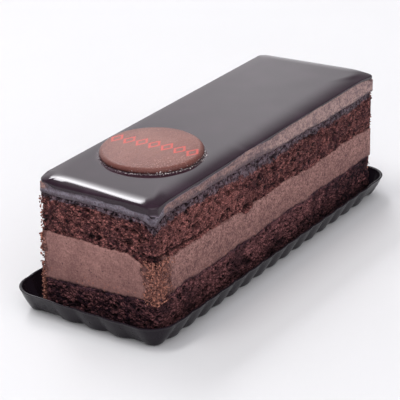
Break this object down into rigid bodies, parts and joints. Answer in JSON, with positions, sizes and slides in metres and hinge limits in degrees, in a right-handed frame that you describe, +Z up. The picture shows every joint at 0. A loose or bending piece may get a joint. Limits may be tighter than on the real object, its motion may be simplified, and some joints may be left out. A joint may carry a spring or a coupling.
{
  "type": "chocolate layer cake slice",
  "caption": "Long rectangular chocolate cake slice with sponge and mousse layers, a mirror glaze and a round of chocolate on top, on its own fluted black tray.",
  "frame": {"origin": "on the ground at the middle of the tray", "axes": "+Z up, +X along the slice, away from the end that is nearest the round of chocolate"},
  "size_m": [0.1334, 0.0542, 0.0447],
  "materials": {
    "tray_plastic": "thin black glossy moulded plastic",
    "soaked_sponge": "dark soaked chocolate sponge with open crumb",
    "sponge": "chocolate sponge with open crumb",
    "mousse": "smooth milk chocolate mousse with fine cut marks",
    "mirror_glaze": "dark chocolate mirror glaze",
    "chocolate": "satin milk chocolate"
  },
  "bodies": {
    "root": {"tray": "tray_plastic", "lower_sponge": "soaked_sponge", "mousse": "mousse", "upper_sponge": "sponge", "top_mousse": "mousse", "glaze": "mirror_glaze", "chocolate_round": "chocolate"}
  },
  "joints": []
}
